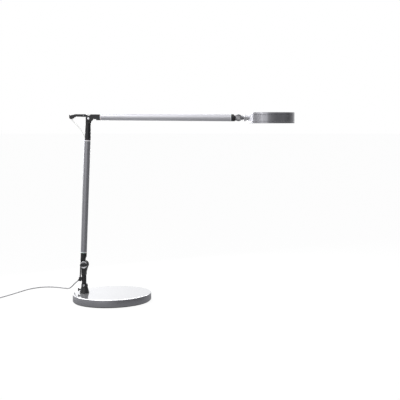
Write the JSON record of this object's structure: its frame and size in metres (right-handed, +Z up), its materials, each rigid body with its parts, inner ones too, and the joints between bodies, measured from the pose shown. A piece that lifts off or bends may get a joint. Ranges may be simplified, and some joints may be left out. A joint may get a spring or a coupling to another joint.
{
  "type": "swing arm desk lamp",
  "caption": "Desk lamp with a heavy round base, a swivelling post, tubular lower and upper arms on friction hinges, and a flat round head that tilts and turns.",
  "frame": {"origin": "centre of the base's underside", "axes": "+Z up, +X from the base towards the head, the arms lie in the plane Y = 0"},
  "size_m": [0.8639, 0.3346, 0.5106],
  "materials": {
    "polished_aluminium": "turned and polished",
    "satin_aluminium": "satin anodised",
    "turned_aluminium": "fine turned, anodised",
    "cast_aluminium": "as cast",
    "bright_steel": "nickel plated",
    "dark_nickel": "dark nickel plated",
    "steel": "zinc plated",
    "black_metal": "semi-gloss black paint on zinc casting",
    "bronze": "sintered, oiled",
    "black_plastic": "fine texture",
    "white_plastic": "moulded nylon",
    "clear_lead": "clear insulated lead",
    "dark_lead": "dark insulated lead",
    "grey_cord": "grey insulated cord",
    "rubber_pad": "matt",
    "black_rubber": "matt moulded",
    "white_board": "white solder mask",
    "led_lens": "yellow phosphor",
    "opal_acrylic": "satin opal"
  },
  "bodies": {
    "base": {"base_disc": "polished_aluminium", "base_ballast": "steel", "base_pad": "rubber_pad", "ballast_screws": "steel", "foot": "black_metal", "foot_nut": "steel", "foot_bush": "bronze", "cord_run": "grey_cord", "cord_coil": "grey_cord", "cord_tail": "grey_cord", "adapter_boot": "black_rubber", "adapter_body": "black_plastic", "adapter_pins": "steel"},
    "thumb_screw": {"thumb_screw": "black_metal"},
    "post": {"post": "black_metal", "post_collar": "black_metal", "collar_pin": "bright_steel", "spigot_clip": "steel", "cord_clip": "black_plastic", "clip_boot": "black_rubber", "lower_axle": "bright_steel", "lower_rings": "bright_steel", "lower_nut": "black_metal", "lower_jumper": "dark_lead"},
    "lower_knob": {"lower_knob": "black_plastic"},
    "lower_arm": {"lower_cap": "black_metal", "lower_discs": "bronze", "lower_tube": "satin_aluminium", "lower_tube_rings": "white_plastic", "lower_lead": "clear_lead", "elbow_tongue": "black_metal", "elbow_jumper": "clear_lead"},
    "upper_arm": {"elbow_fork": "black_metal", "tail_lever": "black_metal", "tail_pin": "steel", "elbow_axle": "bright_steel", "elbow_discs": "bronze", "upper_lead": "clear_lead", "upper_tube": "satin_aluminium", "upper_tube_rings": "white_plastic", "upper_cap": "black_metal"},
    "yoke": {"yoke": "dark_nickel", "tilt_axle": "bright_steel", "tilt_discs": "bronze", "neck_clip": "steel"},
    "head": {"neck": "bright_steel", "head_cover": "turned_aluminium", "head_body": "turned_aluminium", "head_bezel": "turned_aluminium", "heat_sink": "cast_aluminium", "led_board": "white_board", "leds": "led_lens", "diffuser": "opal_acrylic", "head_screws": "steel", "dimmer_switch": "black_plastic"},
    "dimmer_button": {"dimmer_button": "turned_aluminium"}
  },
  "joints": [
    {"name": "post_swivel", "type": "hinge", "parent": "base", "child": "post", "pos_m": [-0.0754, 0, 0], "axis": [0, 0, 1], "range_deg": [-165, 165], "deforming": ["cord_run"]},
    {"name": "thumb_screw_turn", "type": "hinge", "parent": "base", "child": "thumb_screw", "pos_m": [-0.093, 0, 0.0296], "axis": [1, 0, 0], "range_deg": [-180, 180]},
    {"name": "lower_arm_lean", "type": "hinge", "parent": "post", "child": "lower_arm", "pos_m": [-0.076, 0, 0.0976], "axis": [0, 1, 0], "range_deg": [-35, 50], "deforming": ["lower_jumper"]},
    {"name": "lower_knob_turn", "type": "hinge", "parent": "post", "child": "lower_knob", "pos_m": [-0.076, -0.012, 0.0976], "axis": [0, 1, 0], "range_deg": [-90, 90]},
    {"name": "elbow_bend", "type": "hinge", "parent": "lower_arm", "child": "upper_arm", "pos_m": [-0.06354, 0, 0.494], "axis": [0, 1, 0], "range_deg": [-55, 45], "deforming": ["elbow_jumper"]},
    {"name": "head_tilt", "type": "hinge", "parent": "upper_arm", "child": "yoke", "pos_m": [0.34288, 0, 0.49581], "axis": [0, 1, 0], "range_deg": [-80, 80]},
    {"name": "head_turn", "type": "hinge", "parent": "yoke", "child": "head", "pos_m": [0.34288, 0, 0.49581], "axis": [1, 0, 0], "range_deg": [-90, 90]},
    {"name": "dimmer_press", "type": "slide", "parent": "head", "child": "dimmer_button", "axis": [0, 0, -1], "range_m": [0, 0.0012], "stiffness_N_per_m": 350, "springref_m": -0.0006}
  ]
}
